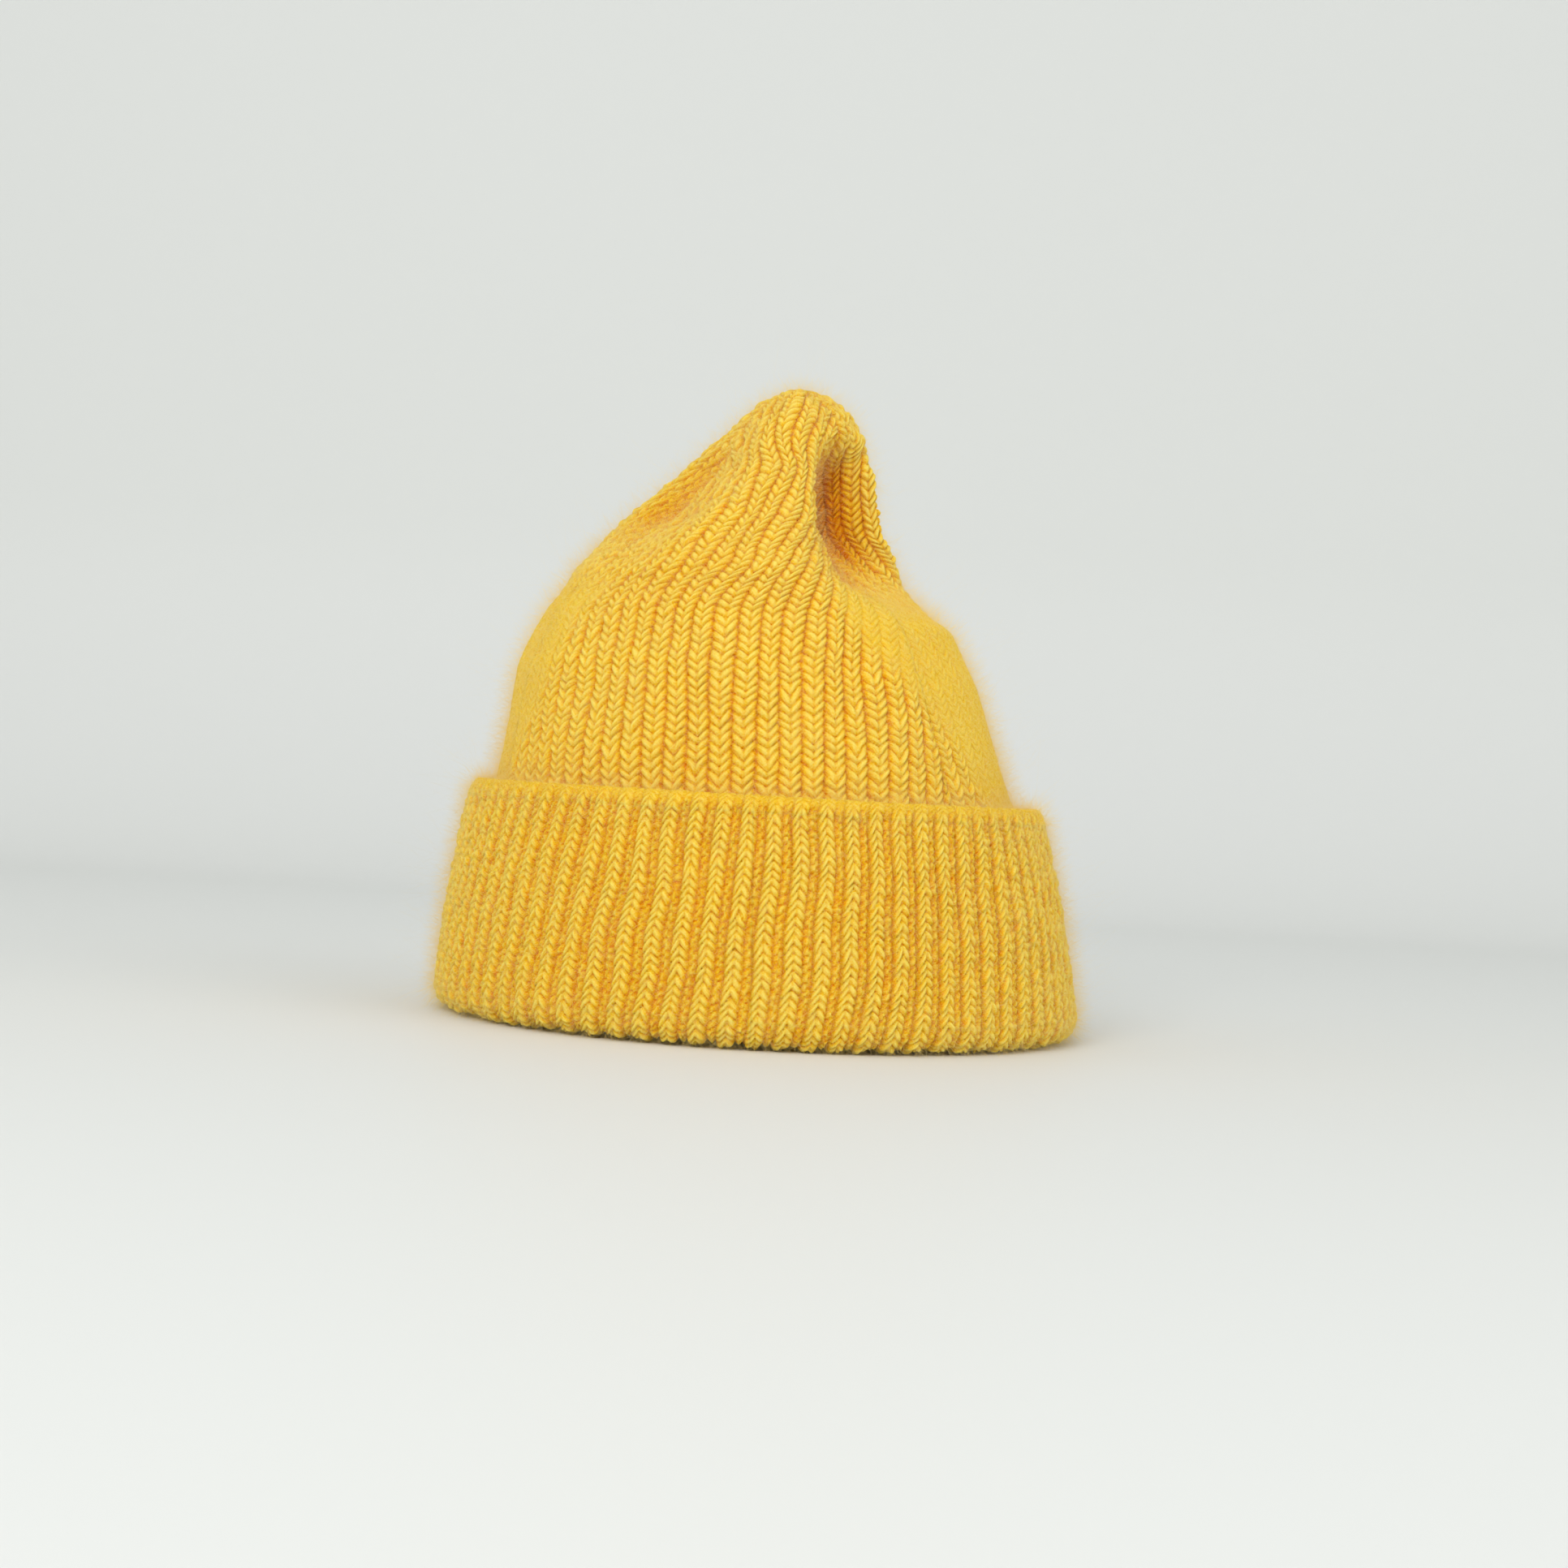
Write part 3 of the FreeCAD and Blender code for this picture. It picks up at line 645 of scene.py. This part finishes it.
def inner_ply(knitting):
    """The ply inside the cuff. Its rows are spaced so that they come out even when the cuff is let down."""
    start, end = FOLD_TOP + 0.001, BAND_TOP

    def stretched(z):
        return z + LET_DOWN * rise(z - start, end - start)

    fine = np.linspace(FOLD_TOP, end, 2000)
    even = np.linspace(stretched(fine[0]), stretched(fine[-1]), 200)
    heights = np.interp(even, stretched(fine), fine)
    low_radius = band_box[1].x
    profile = []
    for z, up in zip(heights, even):
        share = (z - FOLD_TOP) / (end - FOLD_TOP)
        radius = low_radius + (BAND_TOP_RADIUS - low_radius) * share
        profile.append((radius, z, BAND_LEAN * share, BAND_ROWS + (up - even[-1]) / CROWN_ROW, 1.0))
    for z in np.linspace(end, FOLD_TOP, 100):
        share = (z - FOLD_TOP) / (end - FOLD_TOP)
        radius = low_radius + (BAND_TOP_RADIUS - low_radius) * share - PLY
        profile.append((radius, z, BAND_LEAN * share, z / CROWN_ROW, 0.8))
    band = turned_piece("inner_band_knit", profile, knitting, band_turn, inside_out=False)
    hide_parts("inner_band")
    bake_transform(band)
    return band


# --------------------------------------------------------------------------------------------------------
# Yarns, seam and label
# --------------------------------------------------------------------------------------------------------

def cord(name, path, wide, deep, plies, lay, closed=False, tapered=True):
    """A plied cord along a path. wide and deep are its radii, and its plies make one turn in each lay."""
    path = np.array(path)
    step = np.linalg.norm(np.diff(path, axis=0), axis=1)
    travel = np.concatenate([[0], np.cumsum(step)])
    if closed:
        along = np.roll(path, -1, 0) - np.roll(path, 1, 0)
    else:
        along = np.gradient(path, axis=0)
    along /= np.linalg.norm(along, axis=1, keepdims=True)
    spread = path.max(0) - path.min(0)
    flat = np.eye(3)[int(np.argmin(spread))]
    sideways = np.cross(along, flat)
    sideways /= np.linalg.norm(sideways, axis=1, keepdims=True)
    around = np.linspace(0, 2 * math.pi, 40, endpoint=False)
    phase = plies * (around[None, :] / (2 * math.pi) - travel[:, None] / lay)
    ply = rounded(phase)
    size = 0.72 + 0.28 * ply
    if tapered and not closed:
        end = np.minimum(travel, travel[-1] - travel) / max(wide, deep)
        end = np.minimum(end, 1)
        size = size * np.sqrt(np.maximum(end * (2 - end), 0.02))[:, None]
    out = deep * np.cos(around)[None, :, None] * flat
    across = wide * np.sin(around)[None, :, None] * sideways[:, None, :]
    points = path[:, None, :] + size[..., None] * (out + across)
    rows = len(path)
    faces = [quads(rows, len(around), closed, True)[:, ::-1]]
    if not closed:
        faces.append(np.arange(len(around))[None, :])
        faces.append((np.arange(len(around)) + (rows - 1) * len(around))[::-1][None, :])
    turns = np.repeat(travel[:, None] / lay, len(around), 1)
    # Painted shade: the colour deepens in the grooves between the plies.
    layers = {"leg": phase, "depth": 0.55 + 0.45 * ply, "rib": turns}
    return new_mesh(name, points.reshape(-1, 3), faces, layers)


def node_rays(node, origins, direction):
    """Where rays from the origins first meet a CAD node."""
    tree = BVHTree.FromObject(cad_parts[node], bpy.context.evaluated_depsgraph_get())
    hits = [tree.ray_cast(Vector(origin), Vector(direction))[0] for origin in origins]
    return [hit for hit in hits if hit is not None]


def seam_inside():
    """The whip-stitched seam that runs up the inside of the back."""
    low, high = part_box("back_seam")
    middle = (low.x + high.x) / 2
    heights = np.linspace(low.z + 0.0006, high.z - 0.0006, 150)
    hits = node_rays("back_seam", [(middle, 0, z) for z in heights], (0, 1, 0))
    half = (high.x - low.x) / 2
    path = [(middle, hit.y + 0.0011, hit.z) for hit in hits]
    seam = cord("back_seam_stitched", path, half, 0.0013, 2, 0.0062)
    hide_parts("back_seam")
    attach(seam, "crown")
    return seam


def drawn_yarn():
    """The doubled yarn that gathers the top of the crown."""
    low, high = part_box("gather_yarn")
    centre = (low + high) / 2
    thick = (high.z - low.z) / 2
    ring = (high.x - low.x) / 2 - thick
    turns = np.linspace(0, 2 * math.pi, 120, endpoint=False)
    path = [(centre.x + ring * math.cos(t), centre.y + ring * math.sin(t), centre.z) for t in turns]
    lay = 2 * math.pi * ring / 6
    yarn = cord("gather_yarn_plied", path, thick, thick, 3, lay, closed=True)
    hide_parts("gather_yarn")
    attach(yarn, "peak")
    return yarn


def hanging_tail():
    """The end of the gathering yarn, which hangs inside the peak."""
    low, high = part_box("yarn_tail")
    thick = (high.y - low.y) / 2
    heights = np.linspace(low.z + thick, high.z - thick, 90)
    hits = node_rays("yarn_tail", [(high.x + 0.02, 0, z) for z in heights], (-1, 0, 0))
    path = [(hit.x - thick, 0.0, hit.z) for hit in hits]
    tail = cord("yarn_tail_plied", path, thick, thick, 3, 0.0044)
    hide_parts("yarn_tail")
    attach(tail, "peak")
    return tail


def woven_tag():
    """The blank woven label: a soft wave, a rolled hem at its foot and a raised weave."""
    low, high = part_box("label")
    across, up = np.meshgrid(np.linspace(0, 1, 130), np.linspace(0, 1, 150))
    wave = 0.0005 * np.sin(2.2 * math.pi * across + 0.6) * (1 - up) + 0.0004 * (1 - up) ** 2
    hem = 0.00022 * (np.minimum(up, 1 - up) < 0.07)
    threads = 0.00006 * np.sin(across * math.pi * 60) * np.sin(up * math.pi * 70)
    thick = 0.00034 + hem + threads
    middle = (low.y + high.y) / 2
    x = low.x + (high.x - low.x) * across
    z = low.z + (high.z - low.z) * up
    front = np.stack([x, middle + wave - thick, z], -1)
    rear = np.stack([x, middle + wave + thick, z], -1)[:, ::-1]
    loop = np.concatenate([front, rear], axis=1)
    rows, total = loop.shape[:2]
    bottom = np.arange(total)[::-1][None, :]
    top = (np.arange(total) + (rows - 1) * total)[None, :]
    tag = new_mesh("label_woven", loop.reshape(-1, 3), [quads(rows, total, False, True), bottom, top])
    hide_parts("label")
    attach(tag, "label_flap")
    return tag


def tag_stitches():
    """Six stitches that hold the label's top edge."""
    low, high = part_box("label_stitches")
    thick = (high.z - low.z) / 2
    count, share = 6, 0.72
    pitch = (high.x - low.x) / (count - 1 + share)
    reach = share * pitch
    bulge = high.y - low.y - thick
    vertices, faces, offset = [], [], 0
    layers = {"leg": [], "depth": [], "rib": []}
    for number in range(count):
        start = low.x + number * pitch
        turns = np.linspace(0, math.pi, 24)
        path = [
            (start + reach * (1 - math.cos(t)) / 2, high.y - bulge * math.sin(t), low.z + thick)
            for t in turns
        ]
        stitch = cord("stitch", path, thick, thick, 2, 0.0012)
        mesh = stitch.data
        coordinates = np.empty(len(mesh.vertices) * 3, np.float32)
        mesh.vertices.foreach_get("co", coordinates)
        vertices.append(coordinates.reshape(-1, 3))
        faces.append([np.array(face.vertices) + offset for face in mesh.polygons])
        for label in layers:
            values = np.empty(len(mesh.vertices), np.float32)
            mesh.attributes[label].data.foreach_get("value", values)
            layers[label].append(values)
        offset += len(mesh.vertices)
        bpy.data.objects.remove(stitch)
        bpy.data.meshes.remove(mesh)
    flat = [face for group in faces for face in group]
    squares = np.array([face for face in flat if len(face) == 4])
    caps = np.array([face for face in flat if len(face) > 4])
    layers = {label: np.concatenate(parts) for label, parts in layers.items()}
    stitches = new_mesh("label_stitches_sewn", np.concatenate(vertices), [squares, caps], layers)
    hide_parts("label_stitches")
    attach(stitches, "label_flap")
    return stitches


# --------------------------------------------------------------------------------------------------------
# Materials
# --------------------------------------------------------------------------------------------------------

def new_material(name):
    """A new material and its empty node tree."""
    material = bpy.data.materials.new(name)
    material.use_nodes = True
    material.node_tree.nodes.clear()
    return material, material.node_tree


def add(tree, kind, inputs=None, **settings):
    """A node with its settings. Each of its inputs takes a value, or a link from another node's output."""
    made = tree.nodes.new(kind)
    for key, value in settings.items():
        setattr(made, key, value)
    for key, value in (inputs or {}).items():
        if isinstance(value, bpy.types.NodeSocket):
            tree.links.new(value, made.inputs[key])
        else:
            made.inputs[key].default_value = value
    return made


def calculate(tree, operation, first, second=None):
    inputs = {0: first} if second is None else {0: first, 1: second}
    return add(tree, "ShaderNodeMath", inputs, operation=operation).outputs[0]


def noise(tree, place, scale, detail=2.0, roughness=0.5):
    inputs = {"Vector": place, "Scale": scale, "Detail": detail, "Roughness": roughness}
    return add(tree, "ShaderNodeTexNoise", inputs).outputs["Fac"]


def tones(tree, factor, stops):
    """Colour through stops of (position, colour), in rising order."""
    ramp = add(tree, "ShaderNodeValToRGB", {"Fac": factor})
    elements = ramp.color_ramp.elements
    elements[0].position, elements[-1].position = stops[0][0], stops[-1][0]
    for position, _ in stops[1:-1]:
        elements.new(position)
    for element, (_, colour) in zip(elements, stops):
        element.color = (*colour, 1)
    return ramp.outputs["Color"]


def raised(tree, height, strength, distance):
    inputs = {"Height": height, "Strength": strength, "Distance": distance}
    return add(tree, "ShaderNodeBump", inputs).outputs["Normal"]


def knit_material(name, light, mid, deep):
    """Brushed wool: strands along each leg, painted shade in the gaps, painted light on the tops and a pale
    sheen.
    """
    material, tree = new_material(name)
    leg, rib, depth = (
        add(tree, "ShaderNodeAttribute", attribute_name=label).outputs["Fac"]
        for label in ("leg", "rib", "depth")
    )
    position = add(tree, "ShaderNodeNewGeometry").outputs["Position"]

    def plus(first, second):
        return calculate(tree, "ADD", first, second)

    def times(first, second):
        return calculate(tree, "MULTIPLY", first, second)

    def speckle(texture, amount):
        return times(calculate(tree, "SUBTRACT", texture, 0.5), amount)

    centred = calculate(tree, "SUBTRACT", times(calculate(tree, "FRACT", leg), 2.0), 1.0)
    flank = times(times(centred, centred), 0.98)
    strand = calculate(tree, "SQRT", calculate(tree, "SUBTRACT", 1.0, flank))
    along = add(tree, "ShaderNodeCombineXYZ", {0: times(leg, 7.0), 1: times(rib, 3.5)}).outputs[0]
    fibres = noise(tree, along, 1.0, 3.0, 0.6)
    fluff = noise(tree, position, 2200.0)
    patches = noise(tree, position, 32.0)

    # Painted shade and light: the tone deepens with depth and pales on each strand's round back; the speckles
    # of fibres, fluff and patches are the wool's own unevenness.
    shade = plus(times(depth, 0.86), times(strand, 0.12))
    shade = plus(shade, speckle(fibres, 1.0))
    shade = plus(shade, speckle(fluff, 0.75))
    shade = plus(shade, speckle(patches, 0.20))
    relief = plus(times(strand, 0.5), times(fibres, 0.5))
    relief = plus(relief, times(fluff, 0.35))
    shader = add(tree, "ShaderNodeBsdfPrincipled", {
        "Base Color": tones(tree, shade, ((0.12, deep), (0.58, mid), (1.0, light))),
        "Roughness": plus(0.78, times(fibres, 0.2)),
        "Normal": raised(tree, relief, 0.8, 0.0006),
        "Specular IOR Level": 0.03,
        "Subsurface Weight": 0.35,
        "Subsurface Radius": (1.0, 0.8, 0.4),
        "Subsurface Scale": 0.0022,
        "Sheen Weight": 0.05,
        "Sheen Roughness": 0.5,
        "Sheen Tint": (1.0, 0.76, 0.30, 1),
    })
    add(tree, "ShaderNodeOutputMaterial", {"Surface": shader.outputs[0]})
    return material


def weave_material():
    """A plain pale satin weave with crossing threads and a slightly uneven colour."""
    material, tree = new_material("woven_label_cloth")
    position = add(tree, "ShaderNodeNewGeometry").outputs["Position"]
    warp, weft = (
        add(
            tree, "ShaderNodeTexWave", {"Vector": position, "Scale": scale, "Distortion": 0.4},
            bands_direction=direction,
        ).outputs["Fac"]
        for direction, scale in (("X", 1500.0), ("Z", 1900.0))
    )
    cross = calculate(tree, "MULTIPLY", warp, weft)
    shade = calculate(tree, "ADD", cross, noise(tree, position, 400.0))
    shader = add(tree, "ShaderNodeBsdfPrincipled", {
        "Base Color": tones(tree, shade, ((0.3, (0.62, 0.58, 0.50)), (1.0, (0.86, 0.83, 0.75)))),
        "Roughness": 0.55,
        "Normal": raised(tree, cross, 0.5, 0.0002),
    })
    add(tree, "ShaderNodeOutputMaterial", {"Surface": shader.outputs[0]})
    return material


def fluff_material():
    """The loose fibres: fine pale wool that lets part of the light through, some of it deeper in colour."""
    material, tree = new_material("wool_fluff")
    random = add(tree, "ShaderNodeHairInfo").outputs["Random"]
    colour = tones(tree, random, ((0.0, FLUFF[0]), (1.0, FLUFF[1])))
    front = add(tree, "ShaderNodeBsdfDiffuse", {"Color": colour}).outputs[0]
    through = add(tree, "ShaderNodeBsdfTranslucent", {"Color": colour}).outputs[0]
    mix = add(tree, "ShaderNodeMixShader", {0: 0.4, 1: front, 2: through}).outputs[0]
    add(tree, "ShaderNodeOutputMaterial", {"Surface": mix})
    return material


def add_fuzz(piece, material):
    """A halo of short fibres and a few long ones, grown as hair with a fixed seed."""
    piece.data.materials.append(material)
    mesh = piece.data
    depth = np.empty(len(mesh.vertices), np.float32)
    mesh.attributes["depth"].data.foreach_get("value", depth)
    group = piece.vertex_groups.new(name="fuzzy")
    for low, high, share in FIBRE_GROWTH:
        group.add(np.flatnonzero((depth > low) & (depth <= high)).tolist(), share, "REPLACE")
    area = sum(face.area for face in mesh.polygons)
    for number, (label, per_area, length, radius, keys) in enumerate(FIBRES):
        piece.modifiers.new(label, "PARTICLE_SYSTEM")
        system = piece.particle_systems[-1]
        system.seed = SEED + number
        system.vertex_group_density = "fuzzy"
        hair = system.settings
        hair.type = "HAIR"
        hair.count = int(area * per_area)
        hair.emit_from = "FACE"
        hair.distribution = "RAND"
        hair.use_advanced_hair = True
        hair.hair_length = length
        hair.factor_random = 0.7 * length
        hair.hair_step = keys
        hair.render_step = 3
        hair.display_step = 2
        hair.root_radius = 1.0
        hair.tip_radius = 0.3
        hair.radius_scale = radius
        hair.material = len(piece.data.materials)


# --------------------------------------------------------------------------------------------------------
# Stage
# --------------------------------------------------------------------------------------------------------

def stage():
    """A pale floor that curves up into a pale wall, soft lights and the camera."""
    width, front, back, height, bend = 6.0, -3.0, 0.75, 4.0, 0.25
    outline = [(front, 0.0), (back, 0.0)]
    outline += [
        (back + bend * math.sin(turn), bend - bend * math.cos(turn))
        for turn in np.linspace(0, math.pi / 2, 16)[1:]
    ]
    outline.append((back + bend, height))
    vertices = [(side * width, y, z) for y, z in outline for side in (-1, 1)]
    faces = np.array([(2 * i, 2 * i + 1, 2 * i + 3, 2 * i + 2) for i in range(len(outline) - 1)])
    floor = new_mesh("floor", np.array(vertices), [faces])
    paint, tree = new_material("pale_floor")
    colour = (0.755, 0.765, 0.735, 1)
    shader = add(tree, "ShaderNodeBsdfPrincipled", {"Base Color": colour, "Roughness": 0.6})
    add(tree, "ShaderNodeOutputMaterial", {"Surface": shader.outputs[0]})
    floor.data.materials.append(paint)

    world = bpy.data.worlds.new("soft_room")
    world.use_nodes = True
    background = world.node_tree.nodes["Background"]
    background.inputs["Color"].default_value = (0.96, 0.98, 1.0, 1)
    background.inputs["Strength"].default_value = 0.72
    bpy.context.scene.world = world

    def area(name, place, size, power):
        lamp = bpy.data.lights.new(name, "AREA")
        lamp.shape = "DISK"
        lamp.size = size
        lamp.energy = power
        holder = bpy.data.objects.new(name, lamp)
        holder.location = place
        aim = Vector((0, 0, 0.1)) - Vector(place)
        holder.rotation_euler = aim.to_track_quat("-Z", "Y").to_euler()
        bpy.context.scene.collection.objects.link(holder)

    area("key", (-0.5, -1.6, 1.15), 1.0, 17)
    area("fill", (1.3, -1.0, 0.8), 1.4, 5)

    camera = bpy.data.cameras.new("camera")
    camera.sensor_width = 36.0
    camera.lens = 60.7
    camera.clip_start = 0.01
    holder = bpy.data.objects.new("camera", camera)
    bpy.context.scene.collection.objects.link(holder)
    roll = math.radians(3.3)        # the brim slopes down to the right by this much
    distance, rim_left, rim_below = 0.854, 0.0096, 0.0763
    right = Vector((math.cos(roll), 0, math.sin(roll)))
    up = Vector((-math.sin(roll), 0, math.cos(roll)))
    back = Vector((0, -1, 0))
    turn = Matrix((right, up, back)).transposed().to_4x4()
    holder.matrix_world = Matrix.Translation(right * rim_left + up * rim_below + back * distance) @ turn
    bpy.context.scene.camera = holder
    bpy.context.scene.view_settings.view_transform = "Standard"


# --------------------------------------------------------------------------------------------------------
# The hat
# --------------------------------------------------------------------------------------------------------

rng = np.random.default_rng(SEED)
knit = knit_material("brushed_rib_knit", LIT_TOP, MID, SHADED_GAP)
surface = sunken(crown_surface(*read_crown()))
rows_up = np.concatenate([[0], np.cumsum(np.linalg.norm(np.diff(surface, axis=0), axis=2).mean(1))])
pieces = []
for panel, (first, last) in PANELS.items():
    piece = crown_panel(panel + "_knit", surface, rows_up, first, last, rng, hand(rng))
    piece.data.materials.append(knit)
    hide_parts(panel, "peak_fold", "peak_tip")
    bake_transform(piece)
    pieces.append(piece)
cuff_hand = hand(rng)
for build in (turned_up_ply, fold_at_brim, cast_on_lip, inner_ply):
    piece = build(cuff_hand)
    piece.data.materials.append(knit)
    pieces.append(piece)
seam = seam_inside()
seam.data.materials.append(knit)
for build in (drawn_yarn, hanging_tail):
    yarn = build()
    yarn.data.materials.append(knit)
tag = woven_tag()
tag.data.materials.append(weave_material())
stitches = tag_stitches()
stitches.data.materials.append(knit_material("undyed_thread", *UNDYED))
fluff = fluff_material()
for piece in pieces:
    if piece.name != "inner_band_knit":
        add_fuzz(piece, fluff)
stage()
